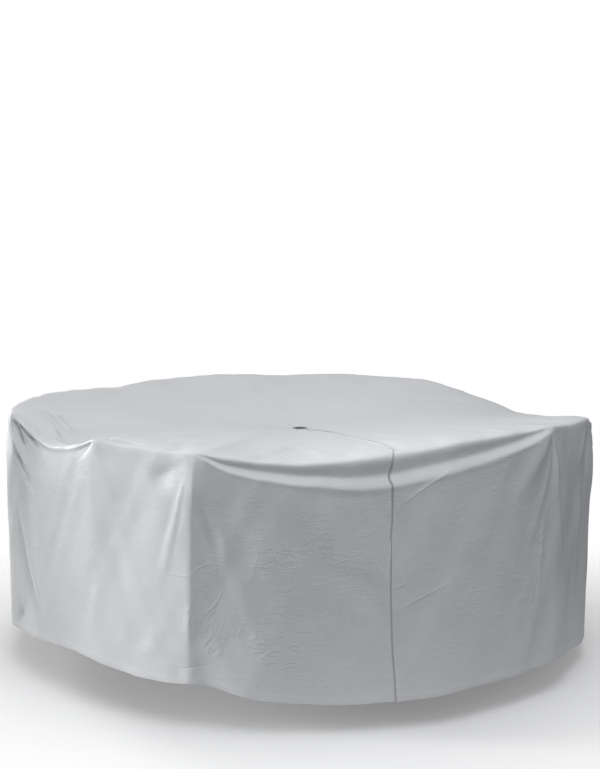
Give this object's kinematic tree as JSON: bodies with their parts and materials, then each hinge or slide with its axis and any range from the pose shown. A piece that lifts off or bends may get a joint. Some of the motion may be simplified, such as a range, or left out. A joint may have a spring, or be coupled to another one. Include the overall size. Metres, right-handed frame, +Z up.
{
  "type": "round patio furniture cover",
  "caption": "Hollow round fitted cover of coated grey fabric, draped over held-up corners, with a centre hole and a closing that runs from the hole to the hem.",
  "frame": {"origin": "the middle of the centre hole, at the underside of the cloth, where what the cover hangs on holds it up", "axes": "+Z up; -Y is the side that the picture shows, to which the closing line runs, a little to the right; +X to the right"},
  "size_m": [2.178, 2.1434, 0.857],
  "materials": {
    "cover_fabric": "coated woven fabric, soft sheen",
    "closing": "matt woven tape",
    "binding": "matt woven tape"
  },
  "bodies": {
    "root": {"cover_cloth": "cover_fabric", "closing_strip": "closing", "hole_binding": "binding"}
  },
  "joints": []
}
